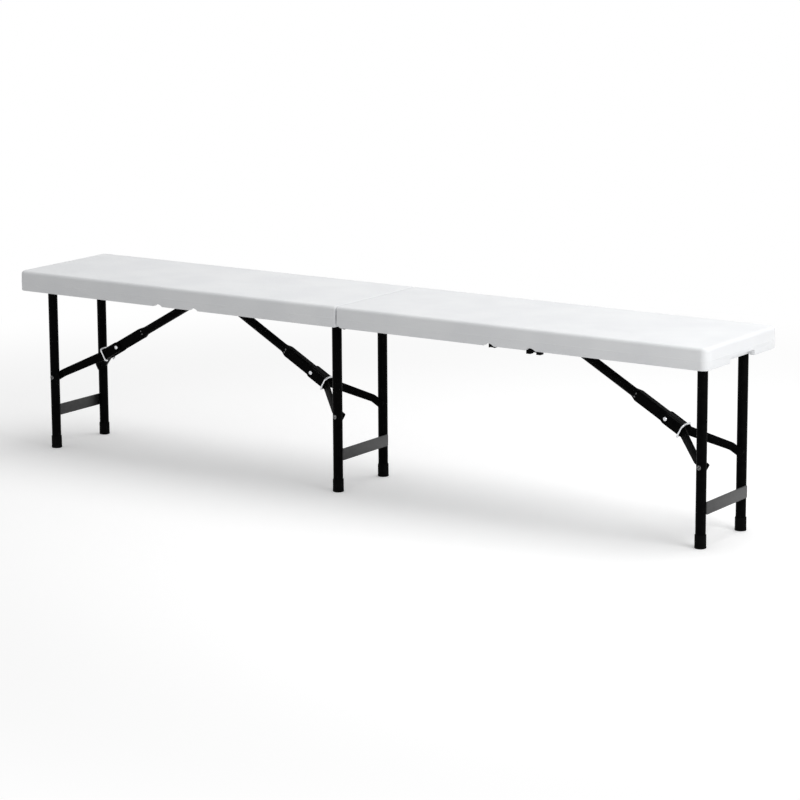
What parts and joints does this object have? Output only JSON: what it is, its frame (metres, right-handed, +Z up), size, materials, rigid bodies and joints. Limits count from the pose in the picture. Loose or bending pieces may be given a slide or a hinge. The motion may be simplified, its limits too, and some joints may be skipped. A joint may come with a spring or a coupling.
{
  "type": "folding bench",
  "caption": "Folding bench with a white moulded seat in two halves that fold together, on black tubular folding leg frames with locking braces and a carry handle.",
  "frame": {"origin": "on the floor, under the middle of the bench's box", "axes": "+X along the bench towards the half with the carry handle, +Y away from the viewer across the seat, +Z up"},
  "size_m": [1.83, 0.316, 0.434],
  "materials": {
    "white_plastic": "white polyethylene with a fine matte grain",
    "black_paint": "black powder coat, satin",
    "black_plastic": "black moulded plastic, matte",
    "zinc": "bright zinc plate"
  },
  "bodies": {
    "seat_left": {"seat_half_left": "white_plastic", "side_rail_left_near": "black_paint", "side_rail_left_far": "black_paint", "strut_rod_left": "black_paint", "hinge_pin_near": "zinc", "hinge_pin_far": "zinc", "rail_screw_left_near_inner": "zinc", "rail_screw_left_near_outer": "zinc", "rail_screw_left_far_inner": "zinc", "rail_screw_left_far_outer": "zinc"},
    "seat_right": {"seat_half_right": "white_plastic", "side_rail_right_near": "black_paint", "side_rail_right_far": "black_paint", "strut_rod_right": "black_paint", "handle_saddle_inner": "black_plastic", "handle_saddle_outer": "black_plastic", "rail_screw_right_near_inner": "zinc", "rail_screw_right_near_outer": "zinc", "rail_screw_right_far_inner": "zinc", "rail_screw_right_far_outer": "zinc"},
    "legs_left": {"left_leg_near": "black_paint", "left_leg_far": "black_paint", "left_leg_axle": "black_paint", "left_crossbar": "black_paint", "left_foot_cap_near": "black_plastic", "left_foot_cap_far": "black_plastic", "left_fork_rivet_near": "black_paint", "left_fork_rivet_far": "black_paint"},
    "strut_left": {"left_strut": "black_paint"},
    "fork_left": {"left_fork_arm_near": "black_paint", "left_fork_arm_far": "black_paint", "left_knee_rivet": "zinc"},
    "ring_left": {"left_lock_ring": "zinc"},
    "legs_middle": {"middle_leg_near": "black_paint", "middle_leg_far": "black_paint", "middle_leg_axle": "black_paint", "middle_crossbar": "black_paint", "middle_foot_cap_near": "black_plastic", "middle_foot_cap_far": "black_plastic", "middle_fork_rivet_near": "black_paint", "middle_fork_rivet_far": "black_paint"},
    "strut_middle": {"middle_strut": "black_paint"},
    "fork_middle": {"middle_fork_arm_near": "black_paint", "middle_fork_arm_far": "black_paint", "middle_knee_rivet": "zinc"},
    "ring_middle": {"middle_lock_ring": "zinc"},
    "legs_right": {"right_leg_near": "black_paint", "right_leg_far": "black_paint", "right_leg_axle": "black_paint", "right_crossbar": "black_paint", "right_foot_cap_near": "black_plastic", "right_foot_cap_far": "black_plastic", "right_fork_rivet_near": "black_paint", "right_fork_rivet_far": "black_paint"},
    "strut_right": {"right_strut": "black_paint"},
    "fork_right": {"right_fork_arm_near": "black_paint", "right_fork_arm_far": "black_paint", "right_knee_rivet": "zinc"},
    "ring_right": {"right_lock_ring": "zinc"},
    "handle": {"carry_handle": "black_plastic"}
  },
  "joints": [
    {"name": "seat_fold", "type": "hinge", "parent": "seat_left", "child": "seat_right", "pos_m": [0, 0, 0.386], "axis": [0, 1, 0], "range_deg": [0, 180]},
    {"name": "left_leg_fold", "type": "hinge", "parent": "seat_left", "child": "legs_left", "pos_m": [-0.87, 0, 0.4045], "axis": [0, -1, 0], "range_deg": [0, 90]},
    {"name": "left_strut_fold", "type": "hinge", "parent": "seat_left", "child": "strut_left", "pos_m": [-0.4575, 0, 0.4045], "axis": [0, 1, 0], "range_deg": [0, 29.41]},
    {"name": "left_knee_fold", "type": "hinge", "parent": "strut_left", "child": "fork_left", "pos_m": [-0.74215, 0, 0.24406], "axis": [0, -1, 0], "range_deg": [0, 180]},
    {"name": "left_ring_slide", "type": "slide", "parent": "fork_left", "child": "ring_left", "axis": [0.8712, 0, 0.491], "range_m": [0, 0.06]},
    {"name": "middle_leg_fold", "type": "hinge", "parent": "seat_left", "child": "legs_middle", "pos_m": [-0.045, 0, 0.4045], "axis": [0, 1, 0], "range_deg": [0, 90]},
    {"name": "middle_strut_fold", "type": "hinge", "parent": "seat_left", "child": "strut_middle", "pos_m": [-0.4575, 0, 0.4045], "axis": [0, -1, 0], "range_deg": [0, 29.41]},
    {"name": "middle_knee_fold", "type": "hinge", "parent": "strut_middle", "child": "fork_middle", "pos_m": [-0.17285, 0, 0.24406], "axis": [0, 1, 0], "range_deg": [0, 180]},
    {"name": "middle_ring_slide", "type": "slide", "parent": "fork_middle", "child": "ring_middle", "axis": [-0.8712, 0, 0.491], "range_m": [0, 0.06]},
    {"name": "right_leg_fold", "type": "hinge", "parent": "seat_right", "child": "legs_right", "pos_m": [0.87, 0, 0.4045], "axis": [0, 1, 0], "range_deg": [0, 90]},
    {"name": "right_strut_fold", "type": "hinge", "parent": "seat_right", "child": "strut_right", "pos_m": [0.4575, 0, 0.4045], "axis": [0, -1, 0], "range_deg": [0, 29.41]},
    {"name": "right_knee_fold", "type": "hinge", "parent": "strut_right", "child": "fork_right", "pos_m": [0.74215, 0, 0.24406], "axis": [0, 1, 0], "range_deg": [0, 180]},
    {"name": "right_ring_slide", "type": "slide", "parent": "fork_right", "child": "ring_right", "axis": [-0.8712, 0, 0.491], "range_m": [0, 0.06]},
    {"name": "handle_swing", "type": "hinge", "parent": "seat_right", "child": "handle", "pos_m": [0.4465, -0.1372, 0.386], "axis": [-1, 0, 0], "range_deg": [0, 180]}
  ],
  "couplings": [
    {"joint": "left_leg_fold", "follows": "seat_fold", "ratio": 0.5},
    {"joint": "left_strut_fold", "follows": "seat_fold", "ratio": 0.16337},
    {"joint": "left_knee_fold", "follows": "seat_fold", "ratio": 1},
    {"joint": "middle_leg_fold", "follows": "seat_fold", "ratio": 0.5},
    {"joint": "middle_strut_fold", "follows": "seat_fold", "ratio": 0.16337},
    {"joint": "middle_knee_fold", "follows": "seat_fold", "ratio": 1},
    {"joint": "right_leg_fold", "follows": "seat_fold", "ratio": 0.5},
    {"joint": "right_strut_fold", "follows": "seat_fold", "ratio": 0.16337},
    {"joint": "right_knee_fold", "follows": "seat_fold", "ratio": 1},
    {"joint": "handle_swing", "follows": "seat_fold", "ratio": 1}
  ]
}
